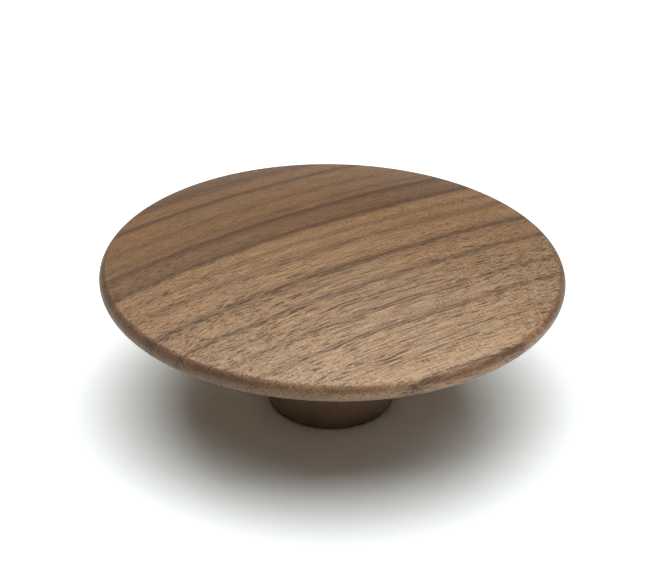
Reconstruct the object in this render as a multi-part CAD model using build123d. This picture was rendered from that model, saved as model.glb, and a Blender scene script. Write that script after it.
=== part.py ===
from build123d import *
from math import cos, radians, sin, tan
import os

# A turned wooden cabinet knob that stands on its foot. Millimetres and degrees, +Z up through the
# cap, origin at the centre of the foot's face, which is the face that meets the door.

# Cap: its widest circle, the two roundings that make the bullnose rim, the slopes of the crown and of
# the underside where they leave the rim, and the wood that the blank has above the crown
CAP_DIAMETER = 70.0
RIM_HEIGHT = 21.8
RIM_UPPER_RADIUS = 1.4
RIM_LOWER_RADIUS = 1.65
CROWN_EDGE_SLOPE = 11.0
UNDERSIDE_SLOPE = 9.0
BLANK_ALLOWANCE = 5.0

# Stem and foot: the stem widens upwards and meets the underside in a cove
FOOT_DIAMETER = 19.0
FOOT_ROUNDING = 0.7
STEM_TAPER = 15.6
COVE_RADIUS = 16.0

# Threaded insert, pressed into the foot: a knurled collar, a row of barbs and a tapered lead-in
INSERT_DIAMETER = 7.6
INSERT_LENGTH = 10.0
INSERT_RECESS = 0.3
INSERT_CHAMFER = 0.3
COLLAR_LENGTH = 2.4
KNURL_COUNT = 20
KNURL_DEPTH = 0.25
BARB_COUNT = 3
BARB_DEPTH = 0.5
BARB_RISE = 0.3
LEAD_IN_LENGTH = 1.0
LEAD_IN_DEPTH = 0.5
TAPPING_DIAMETER = 3.3
COUNTERSINK_DEPTH = 0.55

# Blind hole for the insert, drilled on past it to clear the screw's end
MOUTH_CHAMFER = 0.4
HOLE_END_ROOM = 2.5
DRILL_POINT_ANGLE = 118.0

# The crown is part of one large ball, which meets the rim's upper rounding without a break
CROWN_EDGE_RADIUS = CAP_DIAMETER / 2 - RIM_UPPER_RADIUS * (1 - sin(radians(CROWN_EDGE_SLOPE)))
CROWN_EDGE_HEIGHT = RIM_HEIGHT + RIM_UPPER_RADIUS * cos(radians(CROWN_EDGE_SLOPE))
CROWN_RADIUS = CROWN_EDGE_RADIUS / sin(radians(CROWN_EDGE_SLOPE))
CROWN_CENTRE = CROWN_EDGE_HEIGHT - CROWN_RADIUS * cos(radians(CROWN_EDGE_SLOPE))

CREST_RADIUS = INSERT_DIAMETER / 2
ROOT_RADIUS = CREST_RADIUS - BARB_DEPTH
INSERT_TOP = INSERT_RECESS + INSERT_LENGTH


def turned(*outline):
    """Solid of revolution about Z from a closed outline of (radius, height) points."""
    with BuildSketch(Plane.XZ) as section:
        Polygon(*outline, align=None)
    return revolve(section.sketch, Axis.Z)


def blank_section():
    """One half of the knob's section before it has its crown: a straight wall stands on the rim."""
    rim = (CAP_DIAMETER / 2, RIM_HEIGHT)
    foot_radius = FOOT_DIAMETER / 2
    flank_rise = tan(radians(UNDERSIDE_SLOPE))
    stem_spread = tan(radians(STEM_TAPER))

    with BuildSketch(Plane.XZ) as section:
        with BuildLine():
            # The wall starts where the rim's upper rounding ends, and rises past the crown's top
            upper_rim = JernArc(rim, (0, 1), RIM_UPPER_RADIUS, 90 - CROWN_EDGE_SLOPE)
            blank_top = CROWN_CENTRE + CROWN_RADIUS + BLANK_ALLOWANCE
            Polyline(upper_rim @ 1, (CROWN_EDGE_RADIUS, blank_top), (0, blank_top), (0, 0))

            # The lower rounding runs on into a straight flank, and a cove joins that to the stem
            lower_rim = JernArc(rim, (0, -1), RIM_LOWER_RADIUS, UNDERSIDE_SLOPE - 90)
            flank_edge = lower_rim @ 1
            flank_height_at_foot = flank_edge.Y - (flank_edge.X - foot_radius) * flank_rise
            corner_height = flank_height_at_foot / (1 - stem_spread * flank_rise)
            corner = (foot_radius + corner_height * stem_spread, corner_height)
            foot_edge = (foot_radius, 0)
            roundings = [COVE_RADIUS, FOOT_ROUNDING]
            FilletPolyline(flank_edge, corner, foot_edge, (0, 0), radius=roundings)
        make_face()
    return section.sketch


def insert_outside():
    """The insert's outside before it is knurled. A barb rises steeply and thins towards the hole's end."""
    pitch = (INSERT_LENGTH - COLLAR_LENGTH - LEAD_IN_LENGTH) / BARB_COUNT
    collar_top = INSERT_RECESS + COLLAR_LENGTH
    outline = [
        (0, INSERT_RECESS),
        (CREST_RADIUS - INSERT_CHAMFER, INSERT_RECESS),
        (CREST_RADIUS, INSERT_RECESS + INSERT_CHAMFER),
        (CREST_RADIUS, collar_top),
    ]
    for i in range(BARB_COUNT):
        foot = collar_top + i * pitch
        outline += [(ROOT_RADIUS, foot), (CREST_RADIUS, foot + BARB_RISE)]
    outline += [
        (ROOT_RADIUS, INSERT_TOP - LEAD_IN_LENGTH),
        (ROOT_RADIUS - LEAD_IN_DEPTH, INSERT_TOP),
        (0, INSERT_TOP),
    ]
    return turned(*outline)


def insert_hole():
    """What the hole in the foot takes out: the drilled hole, its chamfered mouth and the barbs' bite."""
    hole_end = INSERT_TOP + HOLE_END_ROOM
    point_height = ROOT_RADIUS / tan(radians(DRILL_POINT_ANGLE / 2))
    drilled = turned(
        (0, 0),
        (CREST_RADIUS + MOUTH_CHAMFER, 0),
        (CREST_RADIUS, MOUTH_CHAMFER),
        (CREST_RADIUS, INSERT_RECESS + COLLAR_LENGTH),
        (ROOT_RADIUS, INSERT_RECESS + COLLAR_LENGTH),
        (ROOT_RADIUS, hole_end),
        (0, hole_end + point_height),
    )
    return drilled + insert_outside()


def make_knob_body():
    """The turned blank, crowned by the ball, with its hole. The ball's poles lie to the sides."""
    ball = Pos(0, 0, CROWN_CENTRE) * Rot(0, 90, 0) * Sphere(CROWN_RADIUS)
    blank = revolve(blank_section(), Axis.Z)
    return (blank & ball) - insert_hole()


def make_threaded_insert():
    """The insert with its knurl and its bore at tapping size, countersunk at both ends."""
    bore_radius = TAPPING_DIAMETER / 2
    with BuildPart() as insert:
        add(insert_outside())
        with BuildSketch(Plane.XY.offset(INSERT_RECESS)):
            with PolarLocations(CREST_RADIUS, KNURL_COUNT):
                RegularPolygon(KNURL_DEPTH, 4)
        extrude(amount=COLLAR_LENGTH, mode=Mode.SUBTRACT)
        with Locations((0, 0, INSERT_TOP)):
            Hole(bore_radius)
        bore_edges = insert.edges().filter_by(
            lambda edge: edge.geom_type == GeomType.CIRCLE and abs(edge.radius - bore_radius) < 1e-6
        )
        chamfer(bore_edges, COUNTERSINK_DEPTH)
    return insert.part


os.makedirs("parts", exist_ok=True)
nodes = {
    "knob_body": make_knob_body(),
    "threaded_insert": make_threaded_insert(),
}
for name, shape in nodes.items():
    shape.label = name
    export_step(shape, f"parts/{name}.step")
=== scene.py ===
from math import atan2, cos, exp, log, pi, radians, sin, tan

import bmesh
import bpy
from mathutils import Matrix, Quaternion, Vector


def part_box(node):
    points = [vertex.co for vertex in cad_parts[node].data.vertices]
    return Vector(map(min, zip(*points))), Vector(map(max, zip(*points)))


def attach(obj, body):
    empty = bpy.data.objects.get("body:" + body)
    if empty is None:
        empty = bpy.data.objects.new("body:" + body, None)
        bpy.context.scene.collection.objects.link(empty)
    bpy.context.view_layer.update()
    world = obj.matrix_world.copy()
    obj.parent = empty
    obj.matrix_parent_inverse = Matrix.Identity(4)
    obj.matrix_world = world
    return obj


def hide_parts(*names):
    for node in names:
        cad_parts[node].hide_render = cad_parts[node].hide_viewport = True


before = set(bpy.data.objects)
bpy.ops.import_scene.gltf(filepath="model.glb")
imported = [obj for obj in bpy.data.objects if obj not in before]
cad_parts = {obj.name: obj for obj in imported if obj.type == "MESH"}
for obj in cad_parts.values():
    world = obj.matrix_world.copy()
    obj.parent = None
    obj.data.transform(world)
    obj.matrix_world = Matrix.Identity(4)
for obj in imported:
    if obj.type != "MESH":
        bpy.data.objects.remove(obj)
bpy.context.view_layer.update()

# A turned walnut knob on a white table under a large soft box. Metres and radians; the materials work
# in millimetres, because that is the scale of grain and pores.
MM = 0.001
PER_METRE = 1000.0

KNOB_LOW, KNOB_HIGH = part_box("knob_body")
INSERT_LOW, INSERT_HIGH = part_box("threaded_insert")

# Section of the knob. The widest circle and the crown's top come from the frame.
CAP_RADIUS = (KNOB_HIGH.y - KNOB_LOW.y) / 2
RIM_HEIGHT = 21.8 * MM
RIM_UPPER_RADIUS = 1.4 * MM
RIM_LOWER_RADIUS = 1.65 * MM
CROWN_EDGE_SLOPE = radians(11)
UNDERSIDE_SLOPE = radians(9)
FOOT_RADIUS = 9.5 * MM
FOOT_ROUNDING = 0.7 * MM
STEM_TAPER = radians(15.6)
COVE_RADIUS = 16 * MM

# Threaded insert and its hole. The outer size and the length come from the frame.
CREST_RADIUS = (INSERT_HIGH.x - INSERT_LOW.x) / 2
INSERT_BASE = INSERT_LOW.z
INSERT_TOP = INSERT_HIGH.z
INSERT_CHAMFER = 0.3 * MM
COLLAR_TOP = INSERT_BASE + 2.4 * MM
KNURL_COUNT = 20
KNURL_DEPTH = 0.25 * MM
KNURL_GROOVE_SHARE = 0.5
BARB_COUNT = 3
ROOT_RADIUS = CREST_RADIUS - 0.5 * MM
BARB_RISE = 0.3 * MM
LEAD_IN_LENGTH = 1.0 * MM
LEAD_IN_RADIUS = ROOT_RADIUS - 0.5 * MM
COUNTERSINK_DEPTH = 0.55 * MM
MOUTH_CHAMFER = 0.4 * MM
HOLE_END = INSERT_TOP + 2.5 * MM
DRILL_POINT_ANGLE = radians(118)

# Thread: the shares of its pitch that the groove's flat floor and each of its flanks take
THREAD_PITCH = 0.7 * MM
THREAD_CREST_RADIUS = 1.65 * MM
THREAD_ROOT_RADIUS = 2.0 * MM
THREAD_FLOOR_SHARE = 0.275
THREAD_FLANK_SHARE = 0.25

# How finely the meshes are divided: around the axis, and along each stretch of the section
KNOB_COLUMNS = 320
INSERT_COLUMNS = 160
CROWN_STEPS = 44
UPPER_RIM_STEPS = 12
LOWER_RIM_STEPS = 14
FLANK_STEPS = 12
COVE_STEPS = 34
STEM_STEPS = 8
FOOT_ROUNDING_STEPS = 8
FOOT_FACE_STEPS = 5
BORE_STEPS = 140
SHARP_ANGLE = radians(28)

# Camera, fitted to the photograph: pixels of its frame, with the rim's centre at the given pixel
FRAME_WIDTH = 665
FRAME_HEIGHT = 587
FOCAL_PIXELS = 2558
RIM_CENTRE_PIXEL = (332.5, 273.25)
CAMERA_ELEVATION = radians(29)
CAMERA_ROLL = radians(0.92)
CAMERA_DISTANCE = 0.3846
SENSOR_WIDTH = 36.0
CLIP_START = 0.01

# Soft box: left, right, front and back edges before it is turned about Z, its height, and how many
# times brighter it is than a white surface that it lights
SOFT_BOX_EDGES = (-0.646, 0.76, -0.678, 0.837)
SOFT_BOX_TURN = radians(9.8)
SOFT_BOX_HEIGHT = 1.0218
SOFT_BOX_BRIGHTNESS = 2.62

# Table: half its side, and the distances from the axis between which it turns from lit to plain white
TABLE_HALF_SIDE = 4.0
TABLE_LIT_WITHIN = 0.12
TABLE_PLAIN_BEYOND = 0.4

# Table's colours: what it shows on top of white, for the photograph's brightness, and the pale grey
# with which it lights the knob
WHITE = (1, 1, 1, 1)
TABLE_EXTRA = (0.385, 0.445, 0.43, 1)
TABLE_GREY = (0.8, 0.8, 0.8, 1)

# Grain: its direction from +X towards +Y, how far it leans with the height, and the height at which
# the growth lines have the places below. From the sweep's start it bends, by the square of the way.
GRAIN_ANGLE = radians(34)
GRAIN_LEAN = tan(radians(12))
GROWTH_LEVEL = 24.9
SWEEP_START = -2.0
SWEEP = -0.0017

# Growth of the wood across the grain, in millimetres from the axis towards the back: how pale the
# broad bands are, and the dark lines with their half widths and how much they darken the bands
GROWTH_BANDS = [
    (-36, 0.90), (-31, 0.83), (-28, 0.69), (-25, 0.75), (-20, 0.68), (-16, 0.64), (-13, 0.64), (-9, 0.60),
    (-2.5, 0.67), (2.2, 0.66), (5.4, 0.66), (10, 0.43), (14, 0.47), (17.5, 0.47), (22, 0.49), (27, 0.50),
    (31, 0.38), (36, 0.42),
]
GROWTH_LINES = [
    (-34.4, 0.35, 0.68), (-29.5, 0.4, 0.15), (-27.3, 0.5, 0.12), (-23.8, 0.5, 0.10), (-22.0, 0.45, 0.46),
    (-17.6, 0.4, 0.40), (-14.4, 0.7, 0.10), (-11.2, 0.45, 0.52), (-5.5, 0.5, 0.66), (-4.4, 0.8, 0.12),
    (-6.8, 0.7, 0.14), (0.3, 0.9, 0.38), (3.8, 0.6, 0.30), (7.5, 0.55, 0.70), (8.8, 0.9, 0.34),
    (11.7, 0.9, 0.28), (12.7, 0.5, 0.76), (14.8, 0.5, 0.28), (19.0, 0.5, 0.25), (24.7, 0.5, 0.60),
    (28.7, 0.3, 0.25), (29.8, 0.7, 0.42), (31.5, 0.4, 0.15),
]
GROWTH_REACH = 36
GROWTH_STEP = 0.4

# Three sizes of pore: length and spacing of the tubes, where they start, and their radius as a share
# of the spacing. A pore's soft edge and its narrowing in pale wood are such shares too. The tubes
# drift across the grain by part of a millimetre, and down by a part of that.
PORES = [(34, 0.46, 0.0, 0.14), (26, 0.38, 3.7, 0.14), (9, 0.32, 5.5, 0.12)]
PORE_EDGE = 0.045
PORE_NARROWING = -0.24
PORE_DRIFT = 0.9
PORE_DRIFT_DOWN = -0.5

# Zones of the wood, each from where it starts to where it is full: places across the grain for the
# front and, on a slant, the coarse wood; heights for the stem; and how far the surface faces up for the
# rim, its lower half and the underside. End grain shows where the surface cuts across the grain and is
# steep enough. Rays, patches of the rim and tints start and end at levels of a noise.
FRONT_ZONE = (-4.0, -14.0)
# Painted sheen: where the front of the crown is made paler and cooler
FRONT_SHEEN_ZONE = (0.0, -26.0)
COARSE_ZONE = (12.0, -12.0)
COARSE_SLANT = 0.35
STEM_ZONE = (15.0, 9.0)
RIM_ZONE = (0.98, 0.66)
LOWER_RIM_ZONE = (0.4, 0.0)
UNDERSIDE_ZONE = (-0.3, -0.9)
END_GRAIN_ZONE = (0.3, 0.9)
STEEP_ZONE = (0.2, 0.5)
RAY_ZONE = (0.35, 0.65)
RIM_PATCH_ZONE = (0.46, 0.62)
TINT_ZONE = (0.3, 0.7)

# Amounts outside and inside a zone: the first three where the wood is coarse, then on the stem, and
# the last two on the rim
RAGGEDNESS = (0.7, 1.7)
FIBRE_STRENGTH = (0.6, 1.05)
PORE_WIDENING = (0.11, 0.225)
STEM_DETAIL = (1.0, 0.2)
STEM_PORES = (1.0, 0.5)
STEM_EVENNESS = (0.0, 0.7)
PORE_DARKNESS = (0.88, 0.53)
RIM_ROUGHNESS = (0.49, 0.59)

# Flecks of the rays outside their zone, how much of the rim's darkening (duller finish and painted shade)
# the lower rim is spared, what end grain and pores add to the roughness, and how high fibres and flecks
# stand against a pore's depth of 1
FLECKS_EVERYWHERE = 0.3
LOWER_RIM_DARKENING_SPARED = -0.32
END_GRAIN_ROUGHENING = 0.20
PORE_ROUGHENING = 0.4
FIBRE_RELIEF = 0.5
FLECK_RELIEF = 0.4

# Colours of the wood from its darkest to its palest, the colour of a pore, and how pale the stem is
WOOD_COLOURS = [
    (0.0, (0.034, 0.012, 0.003, 1)),
    (0.23, (0.108, 0.045, 0.016, 1)),
    (0.60, (0.256, 0.138, 0.058, 1)),
    (1.0, (0.424, 0.253, 0.121, 1)),
]
PORE_COLOUR = (0.058, 0.024, 0.006, 1)
STEM_LEVEL = 0.5

# What the wood's colour is multiplied by in full zones, and in its cool and warm patches
# Painted sheen: the front of the crown paler and cooler, as its gloss would make it
FRONT_SHEEN_TONE = (1.13, 1.26, 1.56, 1)
COOL_TONE = (0.96, 1.0, 1.07, 1)
WARM_TONE = (1.04, 1.0, 0.93, 1)
# The rim darker: partly a duller finish, partly painted shade where the surface turns away from the soft
# box
RIM_DULL_AND_SHADE_TONE = (0.78, 0.62, 0.45, 1)
# Painted shade: the lower rim a little darker and cooler where it turns down
LOWER_RIM_SHADE_TONE = (0.88, 0.89, 0.95, 1)
RIM_PATCH_TONE = (0.62, 0.53, 0.42, 1)
END_GRAIN_TONE = (0.53, 0.43, 0.31, 1)
# Painted shade: the underside darker and greyer than the crown, which also makes the light it throws into
# the table's shadow less brown
UNDERSIDE_SHADE_TONE = (0.625, 0.93, 1.73, 1)
# Painted light: the stem, in shade under the cap, paler and greyer than the crown
STEM_LIGHT_TONE = (1.28, 1.62, 2.42, 1)

# Gloss of the wood, an oiled surface under a thin smooth coat, and the height of its relief
WOOD_IOR = 1.7
WOOD_GLOSS_LEVEL = 1.0
WOOD_GLOSS_TINT = (1.0, 0.74, 0.51, 1)
COAT_WEIGHT = 0.4
COAT_ROUGHNESS = 0.27
WOOD_RELIEF = 0.06 * MM

# Brass where it is bright and where it is tarnished, with fine rings left by the turning tool
BRIGHT_BRASS = (0.72, 0.53, 0.25, 1)
TARNISHED_BRASS = (0.45, 0.30, 0.13, 1)
TARNISH_ZONE = (0.4, 0.7)
TARNISH_ROUGHNESS = (0.2, 0.45)
TOOL_RINGS_PER_MM = 14.0
TOOL_RING_RELIEF = 0.02 * MM
TOOL_RING_STRENGTH = 0.4


# Meshes

def arc(centre, radius, start, end, steps):
    """Points of an arc in the (radius, height) plane, from angle start to angle end."""
    points = []
    for i in range(steps + 1):
        angle = start + (end - start) * i / steps
        points.append((centre[0] + radius * cos(angle), centre[1] + radius * sin(angle)))
    return points


def straight(start, end, steps):
    """Points that divide a line, without its two ends."""
    shares = [i / steps for i in range(1, steps)]
    return [(start[0] + (end[0] - start[0]) * t, start[1] + (end[1] - start[1]) * t) for t in shares]


def insert_outline():
    """The insert's outside from its lower face to its upper face: collar, barbs and lead-in."""
    outline = [
        (CREST_RADIUS - INSERT_CHAMFER, INSERT_BASE),
        (CREST_RADIUS, INSERT_BASE + INSERT_CHAMFER),
        (CREST_RADIUS, COLLAR_TOP),
    ]
    pitch = (INSERT_TOP - LEAD_IN_LENGTH - COLLAR_TOP) / BARB_COUNT
    for i in range(BARB_COUNT):
        foot = COLLAR_TOP + i * pitch
        outline += [(ROOT_RADIUS, foot), (CREST_RADIUS, foot + BARB_RISE)]
    return outline + [(ROOT_RADIUS, INSERT_TOP - LEAD_IN_LENGTH), (LEAD_IN_RADIUS, INSERT_TOP)]


def hole_outline():
    """The hole in the foot, from its mouth over the barbs' bite to the drill's point."""
    mouth = [(CREST_RADIUS + MOUTH_CHAMFER, 0), (CREST_RADIUS, MOUTH_CHAMFER)]
    bite = insert_outline()[2:-1]
    point = (0, HOLE_END + ROOT_RADIUS / tan(DRILL_POINT_ANGLE / 2))
    return mouth + bite + [(ROOT_RADIUS, HOLE_END), point]


def knob_outline():
    """The knob's section from the crown's centre over the rim, down the stem, to the hole's end."""
    upper_centre = (CAP_RADIUS - RIM_UPPER_RADIUS, RIM_HEIGHT)
    lower_centre = (CAP_RADIUS - RIM_LOWER_RADIUS, RIM_HEIGHT)
    level, down, up = 0, -pi / 2, pi / 2
    rim = arc(upper_centre, RIM_UPPER_RADIUS, up - CROWN_EDGE_SLOPE, level, UPPER_RIM_STEPS)
    lower_rim = arc(lower_centre, RIM_LOWER_RADIUS, level, down + UNDERSIDE_SLOPE, LOWER_RIM_STEPS)

    # The crown is part of a ball that reaches from its top to the rim
    edge_radius, edge_height = rim[0]
    rise = KNOB_HIGH.z - edge_height
    crown_radius = (edge_radius ** 2 + rise ** 2) / (2 * rise)
    crown_centre = (0, KNOB_HIGH.z - crown_radius)
    crown_end = atan2(edge_height - crown_centre[1], edge_radius)
    crown = arc(crown_centre, crown_radius, up, crown_end, CROWN_STEPS)

    # The flank and the stem would meet in a corner, which the cove rounds
    flank_edge = lower_rim[-1]
    rise, spread = tan(UNDERSIDE_SLOPE), tan(STEM_TAPER)
    height = (flank_edge[1] - (flank_edge[0] - FOOT_RADIUS) * rise) / (1 - spread * rise)
    corner = (FOOT_RADIUS + height * spread, height)
    turn = pi / 2 - UNDERSIDE_SLOPE - STEM_TAPER
    reach = COVE_RADIUS * tan(turn / 2)
    flank_end = (corner[0] + reach * cos(UNDERSIDE_SLOPE), corner[1] + reach * sin(UNDERSIDE_SLOPE))
    cove_centre = (
        flank_end[0] + COVE_RADIUS * sin(UNDERSIDE_SLOPE),
        flank_end[1] - COVE_RADIUS * cos(UNDERSIDE_SLOPE),
    )
    cove = arc(cove_centre, COVE_RADIUS, up + UNDERSIDE_SLOPE, pi - STEM_TAPER, COVE_STEPS)

    foot_turn = up - STEM_TAPER
    foot_centre = (FOOT_RADIUS - FOOT_ROUNDING * tan(foot_turn / 2), FOOT_ROUNDING)
    foot = arc(foot_centre, FOOT_ROUNDING, -STEM_TAPER, down, FOOT_ROUNDING_STEPS)

    hole = hole_outline()
    outline = crown + rim[1:] + lower_rim[1:]
    outline += straight(flank_edge, cove[0], FLANK_STEPS) + cove
    outline += straight(cove[-1], foot[0], STEM_STEPS) + foot
    return outline + straight(foot[-1], hole[0], FOOT_FACE_STEPS) + hole


def turned_mesh(name, outline, columns, closed=False, shape=None):
    """A mesh turned about Z. shape(radius, height, angle, row) may change a point's radius."""
    mesh = bmesh.new()
    rows = []
    for index, (radius, height) in enumerate(outline):
        if radius == 0:
            rows.append([mesh.verts.new((0, 0, height))] * columns)
            continue
        row = []
        for i in range(columns):
            angle = 2 * pi * i / columns
            reach = shape(radius, height, angle, index) if shape else radius
            row.append(mesh.verts.new((reach * cos(angle), reach * sin(angle), height)))
        rows.append(row)
    pairs = list(zip(rows, rows[1:]))
    if closed:
        pairs.append((rows[-1], rows[0]))
    for upper, lower in pairs:
        for i in range(columns):
            j = (i + 1) % columns
            corners = [upper[i], lower[i], lower[j], upper[j]]
            mesh.faces.new(list(dict.fromkeys(corners)))
    bmesh.ops.recalc_face_normals(mesh, faces=mesh.faces)
    data = bpy.data.meshes.new(name)
    mesh.to_mesh(data)
    mesh.free()
    data.shade_smooth()
    data.set_sharp_from_angle(angle=SHARP_ANGLE)
    piece = bpy.data.objects.new(name, data)
    bpy.context.scene.collection.objects.link(piece)
    return piece


def stand_for(piece, node, material):
    """The piece takes a CAD node's place on the one body, with its material."""
    piece.data.materials.append(material)
    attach(piece, "root")
    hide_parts(node)


def knurled(radius, angle):
    """The collar's radius at an angle: a groove with straight sides in the middle of each knurl."""
    from_groove = abs((angle * KNURL_COUNT / (2 * pi)) % 1 - 0.5) * 2
    return radius - KNURL_DEPTH * max(0.0, 1 - from_groove / KNURL_GROOVE_SHARE)


def threaded(height, angle):
    """The bore's radius at a height and an angle: a right-hand thread, countersunk at both ends."""
    from_groove = abs(((height - INSERT_BASE) / THREAD_PITCH - angle / (2 * pi)) % 1 - 0.5)
    depth = (THREAD_FLOOR_SHARE / 2 + THREAD_FLANK_SHARE - from_groove) / THREAD_FLANK_SHARE
    depth = min(1.0, max(0.0, depth))
    radius = THREAD_CREST_RADIUS + (THREAD_ROOT_RADIUS - THREAD_CREST_RADIUS) * depth
    from_end = min(height - INSERT_BASE, INSERT_TOP - height)
    return max(radius, THREAD_CREST_RADIUS + COUNTERSINK_DEPTH - from_end)


def make_threaded_insert(material):
    """The insert with its knurled collar and its thread."""
    outside = insert_outline()
    length = INSERT_TOP - INSERT_BASE
    bore = [(THREAD_CREST_RADIUS, INSERT_TOP - length * i / BORE_STEPS) for i in range(BORE_STEPS + 1)]
    collar_rows = (1, 2)

    def shape(radius, height, angle, row):
        if row in collar_rows:
            return knurled(radius, angle)
        if row < len(outside):
            return radius
        return threaded(height, angle)

    piece = turned_mesh("knurled_insert", outside + bore, INSERT_COLUMNS, closed=True, shape=shape)
    stand_for(piece, "threaded_insert", material)


def make_knob(material):
    piece = turned_mesh("turned_knob", knob_outline(), KNOB_COLUMNS)
    stand_for(piece, "knob_body", material)


# Materials

class Nodes:
    """Adds nodes to a node tree. An input takes a plain value or another node's output."""

    def __init__(self, tree):
        self.tree = tree
        tree.nodes.clear()

    def feed(self, socket, value):
        if isinstance(value, bpy.types.NodeSocket):
            self.tree.links.new(value, socket)
        else:
            socket.default_value = value

    def add(self, kind, inputs=None, **settings):
        node = self.tree.nodes.new("ShaderNode" + kind)
        for name, value in settings.items():
            setattr(node, name, value)
        for name, value in (inputs or {}).items():
            self.feed(node.inputs[name], value)
        return node

    def finish(self, kind, shader):
        output = self.add(kind)
        self.feed(output.inputs[0], shader)

    def math(self, operation, *values, clamp=False):
        node = self.add("Math", operation=operation, use_clamp=clamp)
        for socket, value in zip(node.inputs, values):
            self.feed(socket, value)
        return node.outputs[0]

    def sum(self, *values):
        total = values[0]
        for value in values[1:]:
            total = self.math("ADD", total, value)
        return total

    def between(self, zone, amounts):
        """A number that goes from its amount outside a zone to its amount inside."""
        outside, inside = amounts
        return self.math("MULTIPLY_ADD", zone, inside - outside, outside)

    def smooth_step(self, value, limits):
        """0 at the first limit, 1 at the second and beyond."""
        inputs = {"Value": value, "From Min": limits[0], "From Max": limits[1]}
        return self.add("MapRange", inputs, interpolation_type="SMOOTHSTEP").outputs[0]

    def mix(self, factor, first, second, blend="MIX"):
        node = self.add("Mix", data_type="RGBA", blend_type=blend)
        for socket, value in zip((node.inputs[0], node.inputs[6], node.inputs[7]), (factor, first, second)):
            self.feed(socket, value)
        return node.outputs[2]

    def noise(self, place, detail=2.0, roughness=0.5):
        inputs = {"Vector": place, "Scale": 1.0, "Detail": detail, "Roughness": roughness}
        return self.add("TexNoise", inputs).outputs[0]

    def place_in_mm(self, turn=0.0):
        """The place on the piece in millimetres, in a frame turned about Z, as three numbers."""
        place = self.add("TexCoord").outputs["Object"]
        turned = self.add("VectorRotate", {"Vector": place, "Angle": -turn}, rotation_type="Z_AXIS")
        scaled = self.add("VectorMath", {"Scale": PER_METRE}, operation="SCALE")
        self.feed(scaled.inputs[0], turned.outputs[0])
        return self.add("SeparateXYZ", {"Vector": scaled.outputs[0]}).outputs

    def join(self, x, y, z=0.0):
        return self.add("CombineXYZ", {"X": x, "Y": y, "Z": z}).outputs[0]

    def curve(self, value, points, low, high):
        """A smooth curve through (value, height) points. Heights run from 0 to 1."""
        scaled = self.add("MapRange", {"Value": value, "From Min": low, "From Max": high}).outputs[0]
        node = self.add("FloatCurve", {"Value": scaled})
        line = node.mapping.curves[0]
        places = [((x - low) / (high - low), y) for x, y in points]
        line.points[0].location = places[0]
        line.points[1].location = places[-1]
        for place in places[1:-1]:
            line.points.new(*place)
        node.mapping.update()
        return node.outputs[0]

    def ramp(self, value, stops):
        """The colour at a value of 0 to 1, from stops whose first is at 0 and whose last is at 1."""
        node = self.add("ValToRGB", {"Fac": value})
        elements = node.color_ramp.elements
        elements[0].color = stops[0][1]
        elements[1].color = stops[-1][1]
        for position, colour in stops[1:-1]:
            elements.new(position).color = colour
        return node.outputs[0]


def new_material(name):
    material = bpy.data.materials.new(name)
    material.use_nodes = True
    return material, Nodes(material.node_tree)


# Walnut

def grain_space(nodes):
    """Places in millimetres: along the grain, across it, and height. The grain sweeps up to the right."""
    along, across, height = nodes.place_in_mm(GRAIN_ANGLE)
    way = nodes.math("MAXIMUM", nodes.math("SUBTRACT", along, SWEEP_START), 0.0)
    return along, nodes.math("MULTIPLY_ADD", nodes.math("POWER", way, 2.0), SWEEP, across), height


def grain_noise(nodes, space, length, width, offset=0.0, detail=2.0, roughness=0.5):
    """A noise of 0 to 1 whose features are so long along the grain and so wide across it."""
    along, across, height = space
    place = nodes.join(
        nodes.math("MULTIPLY_ADD", along, 1 / length, offset),
        nodes.math("MULTIPLY", across, 1 / width),
        nodes.math("MULTIPLY", height, 1 / width),
    )
    return nodes.noise(place, detail, roughness)


def grain_swing(nodes, space, size, **features):
    """Such a noise as a swing about zero."""
    noise = grain_noise(nodes, space, **features)
    return nodes.math("MULTIPLY", nodes.math("SUBTRACT", noise, 0.5), size)


def growth_curve():
    """How pale the wood is across the grain: the broad bands, cut by the dark lines."""
    points = []
    for i in range(int(2 * GROWTH_REACH / GROWTH_STEP) + 1):
        place = -GROWTH_REACH + i * GROWTH_STEP
        before = max(band for band in GROWTH_BANDS if band[0] <= place)
        after = min(band for band in GROWTH_BANDS if band[0] >= place)
        gap = after[0] - before[0]
        share = (place - before[0]) / gap if gap else 0.0
        height = before[1] + (after[1] - before[1]) * share
        for centre, half_width, strength in GROWTH_LINES:
            height *= 1 - strength * exp(-log(2) * ((place - centre) / half_width) ** 2)
        points.append((place, height))
    return points


def growth_place(nodes, space):
    """The place across the growth lines, which waver a little and lean with the height."""
    across, height = space[1:]
    waver = grain_swing(nodes, space, 0.8, length=16, width=9, offset=3.1, detail=1)
    ring = nodes.math("ADD", across, waver)
    return nodes.math("MULTIPLY_ADD", nodes.math("SUBTRACT", height, GROWTH_LEVEL), GRAIN_LEAN, ring)


def growth_shade(nodes, space, ring, coarse):
    """How pale the growth leaves the wood. The lines' edges are more ragged where it is coarse."""
    ragged = grain_swing(nodes, space, 1.2, length=2.6, width=0.42, offset=8.7, detail=3, roughness=0.7)
    ragged = nodes.math("MULTIPLY", ragged, nodes.between(coarse, RAGGEDNESS))
    return nodes.curve(nodes.math("ADD", ring, ragged), growth_curve(), -GROWTH_REACH, GROWTH_REACH)


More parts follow.
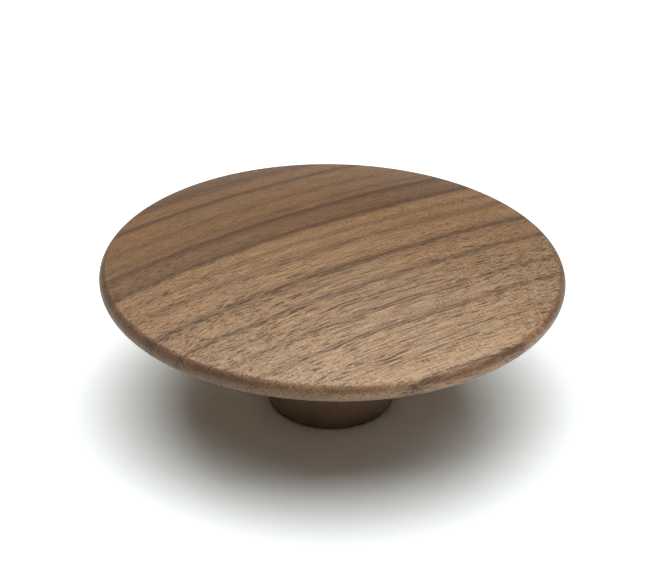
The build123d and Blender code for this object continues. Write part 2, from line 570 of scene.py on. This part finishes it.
def pore_mask(nodes, space, growth, coarse, stem):
    """1 inside a pore. Pores are wider where the wood is dark or coarse."""
    # They are long thin tubes, which show as dashes where the surface runs along them, and as dots
    # where it cuts them across
    along, across, height = space
    drift = grain_swing(nodes, space, PORE_DRIFT, length=9, width=3, offset=6.6)
    crowding = nodes.math("MULTIPLY_ADD", growth, PORE_NARROWING, nodes.between(coarse, PORE_WIDENING))
    pores = 0.0
    for length, spacing, offset, radius in PORES:
        level = nodes.math("MULTIPLY_ADD", height, 1 / spacing, offset)
        place = nodes.join(
            nodes.math("MULTIPLY_ADD", along, 1 / length, offset),
            nodes.math("MULTIPLY", nodes.math("ADD", across, drift), 1 / spacing),
            nodes.math("MULTIPLY_ADD", drift, PORE_DRIFT_DOWN, level),
        )
        from_axis = nodes.add("TexVoronoi", {"Vector": place, "Scale": 1.0}).outputs["Distance"]
        depth = nodes.math("SUBTRACT", nodes.math("ADD", crowding, radius), from_axis)
        pores = nodes.math("MAXIMUM", pores, nodes.math("DIVIDE", depth, PORE_EDGE, clamp=True))
    return nodes.math("MULTIPLY", pores, nodes.between(stem, STEM_PORES))


def wood_colour(nodes, space, ring, level):
    """The colour of the wood by how pale it is, cooler in soft patches, and paler and cooler at the front
    from a painted sheen.
    """
    wood = nodes.ramp(level, WOOD_COLOURS)
    # Painted sheen makes the front of the crown paler and cooler
    wood = nodes.mix(nodes.smooth_step(ring, FRONT_SHEEN_ZONE), wood, FRONT_SHEEN_TONE, "MULTIPLY")
    warm = nodes.smooth_step(grain_noise(nodes, space, length=14, width=2.5, offset=9.9), TINT_ZONE)
    return nodes.mix(1.0, wood, nodes.mix(warm, COOL_TONE, WARM_TONE), "MULTIPLY")


def end_grain_zone(nodes, normal, facing):
    """1 where a steep surface cuts straight across the grain."""
    grain = (cos(GRAIN_ANGLE), sin(GRAIN_ANGLE), 0)
    with_grain = nodes.add("VectorMath", {0: normal, 1: grain}, operation="DOT_PRODUCT").outputs["Value"]
    level_part = nodes.math("MULTIPLY_ADD", facing, nodes.math("MULTIPLY", facing, -1.0), 1.0)
    tilt = nodes.math("SQRT", level_part)
    across = nodes.math("DIVIDE", nodes.math("ABSOLUTE", with_grain), tilt)
    steep = nodes.smooth_step(tilt, STEEP_ZONE)
    return nodes.math("MULTIPLY", nodes.smooth_step(across, END_GRAIN_ZONE), steep)


def walnut_material():
    material, nodes = new_material("walnut")
    space = grain_space(nodes)
    along, _, height = space
    ring = growth_place(nodes, space)

    # The wood is coarser towards the front and the left, and its rays show at the front
    front = nodes.smooth_step(ring, FRONT_ZONE)
    coarse = nodes.smooth_step(nodes.math("MULTIPLY_ADD", along, COARSE_SLANT, ring), COARSE_ZONE)
    stem = nodes.smooth_step(height, STEM_ZONE)
    cap = nodes.math("SUBTRACT", 1.0, stem)
    growth = growth_shade(nodes, space, ring, coarse)
    pores = pore_mask(nodes, space, growth, coarse, stem)

    # Streaks and fibres along the grain, flecks of the rays across it, and fine grit
    streaks = grain_swing(nodes, space, 0.5, length=18, width=0.8, offset=1.7, detail=4, roughness=0.65)
    fibres = grain_swing(nodes, space, 3.4, length=4.6, width=0.24, offset=5.3, detail=3, roughness=0.75)
    fibres = nodes.math("MULTIPLY", fibres, nodes.between(coarse, FIBRE_STRENGTH))
    rays = nodes.smooth_step(grain_noise(nodes, space, length=9, width=5, offset=2.2, detail=1), RAY_ZONE)
    flecks = grain_swing(nodes, space, 1.35, length=0.17, width=1.2, offset=4.4, detail=1)
    flecks = nodes.math("MULTIPLY", flecks, nodes.math("MULTIPLY_ADD", front, rays, FLECKS_EVERYWHERE))
    grit = grain_swing(nodes, space, 2.3, length=0.24, width=0.24, roughness=0.6)
    detail = nodes.sum(streaks, fibres, flecks, grit)
    detail = nodes.math("MULTIPLY_ADD", detail, nodes.between(stem, STEM_DETAIL), 1.0)

    # The stem is more even than the cap
    to_even = nodes.math("SUBTRACT", STEM_LEVEL, growth)
    to_even = nodes.math("MULTIPLY", to_even, nodes.between(stem, STEM_EVENNESS))
    level = nodes.math("MULTIPLY", nodes.math("ADD", growth, to_even), detail, clamp=True)
    wood = wood_colour(nodes, space, ring, level)

    # Pores are filled a little more on the rim
    normal = nodes.add("NewGeometry").outputs["Normal"]
    facing = nodes.add("SeparateXYZ", {"Vector": normal}).outputs["Z"]
    rim = nodes.smooth_step(facing, RIM_ZONE)
    lower_rim = nodes.smooth_step(facing, LOWER_RIM_ZONE)
    filled = nodes.math("MULTIPLY", pores, nodes.between(rim, PORE_DARKNESS))
    wood = nodes.mix(filled, wood, PORE_COLOUR)

    # The rim is darker, partly a duller finish and partly painted shade where the surface turns away from
    # the soft box, most of all where the grain ends; the lower rim gets a cooler painted shade. The
    # underside gets a darker, greyer painted shade, and the stem in the shade under the cap is painted
    # paler and greyer
    dull_and_shaded_rim = nodes.math("MULTIPLY_ADD", lower_rim, LOWER_RIM_DARKENING_SPARED, rim)
    patches = nodes.smooth_step(grain_noise(nodes, space, length=7, width=5, offset=7.3), RIM_PATCH_ZONE)
    patches = nodes.math("MULTIPLY", patches, nodes.math("SUBTRACT", rim, lower_rim, clamp=True))
    end_grain = end_grain_zone(nodes, normal, facing)
    tones = [
        (dull_and_shaded_rim, RIM_DULL_AND_SHADE_TONE),
        (lower_rim, LOWER_RIM_SHADE_TONE),
        (patches, RIM_PATCH_TONE),
        (nodes.math("MULTIPLY", end_grain, cap), END_GRAIN_TONE),
        (nodes.math("MULTIPLY", nodes.smooth_step(facing, UNDERSIDE_ZONE), cap), UNDERSIDE_SHADE_TONE),
        (stem, STEM_LIGHT_TONE),
    ]
    for zone, tone in tones:
        wood = nodes.mix(zone, wood, tone, "MULTIPLY")

    relief = nodes.sum(nodes.math("MULTIPLY", pores, -1.0), nodes.math("MULTIPLY", fibres, FIBRE_RELIEF))
    relief = nodes.math("MULTIPLY_ADD", flecks, FLECK_RELIEF, relief)
    bump = nodes.add("Bump", {"Strength": 1.0, "Distance": WOOD_RELIEF, "Height": relief})
    roughness = nodes.between(rim, RIM_ROUGHNESS)
    roughness = nodes.math("MULTIPLY_ADD", end_grain, END_GRAIN_ROUGHENING, roughness)
    roughness = nodes.math("MULTIPLY_ADD", pores, PORE_ROUGHENING, roughness, clamp=True)
    shader = nodes.add("BsdfPrincipled", {
        "Base Color": wood, "Roughness": roughness, "Normal": bump.outputs[0], "IOR": WOOD_IOR,
        "Specular IOR Level": WOOD_GLOSS_LEVEL, "Specular Tint": WOOD_GLOSS_TINT,
        "Coat Weight": COAT_WEIGHT, "Coat Roughness": COAT_ROUGHNESS, "Coat Normal": bump.outputs[0],
    })
    nodes.finish("OutputMaterial", shader.outputs[0])
    return material


def brass_material():
    """Turned brass with fine tool rings and a little tarnish."""
    material, nodes = new_material("insert_brass")
    x, y, z = nodes.place_in_mm()
    reach = nodes.math("SQRT", nodes.math("ADD", nodes.math("POWER", x, 2.0), nodes.math("POWER", y, 2.0)))
    rings = nodes.noise(nodes.join(
        nodes.math("MULTIPLY", reach, TOOL_RINGS_PER_MM), nodes.math("MULTIPLY", z, TOOL_RINGS_PER_MM),
    ))
    tarnish = nodes.noise(nodes.join(x, y, z), detail=4, roughness=0.6)
    colour = nodes.mix(nodes.smooth_step(tarnish, TARNISH_ZONE), BRIGHT_BRASS, TARNISHED_BRASS)
    bump = nodes.add("Bump", {
        "Strength": TOOL_RING_STRENGTH, "Distance": TOOL_RING_RELIEF, "Height": rings,
    })
    shader = nodes.add("BsdfPrincipled", {
        "Base Color": colour, "Metallic": 1.0, "Normal": bump.outputs[0],
        "Roughness": nodes.between(tarnish, TARNISH_ROUGHNESS),
    })
    nodes.finish("OutputMaterial", shader.outputs[0])
    return material


# Stage, light and camera

def table_material():
    """White as seen, with the knob's shadow on it, and pale grey in the light that it throws back."""
    material, nodes = new_material("white_table")
    near = nodes.add("AddShader")
    for socket, colour in zip(near.inputs, (WHITE, TABLE_EXTRA)):
        nodes.feed(socket, nodes.add("BsdfDiffuse", {"Color": colour}).outputs[0])
    far = nodes.add("Emission", {"Color": WHITE, "Strength": 1.0})
    distance = nodes.add("VectorMath", {0: nodes.add("TexCoord").outputs["Object"]}, operation="LENGTH")
    farness = nodes.smooth_step(distance.outputs["Value"], (TABLE_LIT_WITHIN, TABLE_PLAIN_BEYOND))
    shown = nodes.add("MixShader", {"Fac": farness, 1: near.outputs[0], 2: far.outputs[0]})

    path = nodes.add("LightPath").outputs
    seen = nodes.math("MAXIMUM", path["Is Camera Ray"], path["Is Glossy Ray"])
    lit = nodes.add("BsdfDiffuse", {"Color": TABLE_GREY})
    both = nodes.add("MixShader", {"Fac": seen, 1: lit.outputs[0], 2: shown.outputs[0]})
    nodes.finish("OutputMaterial", both.outputs[0])
    return material


def make_table():
    half = TABLE_HALF_SIDE
    data = bpy.data.meshes.new("floor")
    corners = [(-half, -half, 0), (half, -half, 0), (half, half, 0), (-half, half, 0)]
    data.from_pydata(corners, [], [(0, 1, 2, 3)])
    floor = bpy.data.objects.new("floor", data)
    bpy.context.scene.collection.objects.link(floor)
    data.materials.append(table_material())


def make_light():
    """One level soft box over the knob in a dark room with a white backdrop."""
    left, right, front, back = SOFT_BOX_EDGES
    lamp = bpy.data.lights.new("soft_box", "AREA")
    lamp.shape = "RECTANGLE"
    lamp.size = right - left
    lamp.size_y = back - front
    lamp.energy = SOFT_BOX_BRIGHTNESS * pi * lamp.size * lamp.size_y
    holder = bpy.data.objects.new("soft_box", lamp)
    centre = Vector(((left + right) / 2, (front + back) / 2, SOFT_BOX_HEIGHT))
    turn = Quaternion((0, 0, 1), SOFT_BOX_TURN)
    holder.location = turn @ centre
    holder.rotation_mode = "QUATERNION"
    holder.rotation_quaternion = turn
    bpy.context.scene.collection.objects.link(holder)

    world = bpy.data.worlds.new("studio")
    bpy.context.scene.world = world
    world.use_nodes = True
    nodes = Nodes(world.node_tree)
    seen = nodes.add("LightPath").outputs["Is Camera Ray"]
    background = nodes.add("Background", {"Color": WHITE, "Strength": seen})
    nodes.finish("OutputWorld", background.outputs[0])


def make_camera():
    data = bpy.data.cameras.new("camera")
    data.sensor_width = SENSOR_WIDTH
    data.lens = SENSOR_WIDTH * FOCAL_PIXELS / FRAME_WIDTH
    data.clip_start = CLIP_START
    camera = bpy.data.objects.new("camera", data)
    bpy.context.scene.collection.objects.link(camera)
    backward = Vector((0, -cos(CAMERA_ELEVATION), sin(CAMERA_ELEVATION)))
    camera.location = Vector((0, 0, RIM_HEIGHT)) + backward * CAMERA_DISTANCE

    # The camera looks at the rim's centre, rolls, and then turns until that centre is at its pixel
    sideways = RIM_CENTRE_PIXEL[0] - FRAME_WIDTH / 2
    upwards = FRAME_HEIGHT / 2 - RIM_CENTRE_PIXEL[1]
    aim = Vector((sideways, upwards, -FOCAL_PIXELS)).normalized()
    off_centre = Vector((0, 0, -1)).rotation_difference(aim)
    roll = Quaternion((0, 0, 1), CAMERA_ROLL)
    camera.rotation_mode = "QUATERNION"
    camera.rotation_quaternion = backward.to_track_quat("Z", "Y") @ roll @ off_centre.inverted()
    bpy.context.scene.camera = camera


make_knob(walnut_material())
make_threaded_insert(brass_material())
make_table()
make_light()
make_camera()
bpy.context.scene.view_settings.view_transform = "Standard"
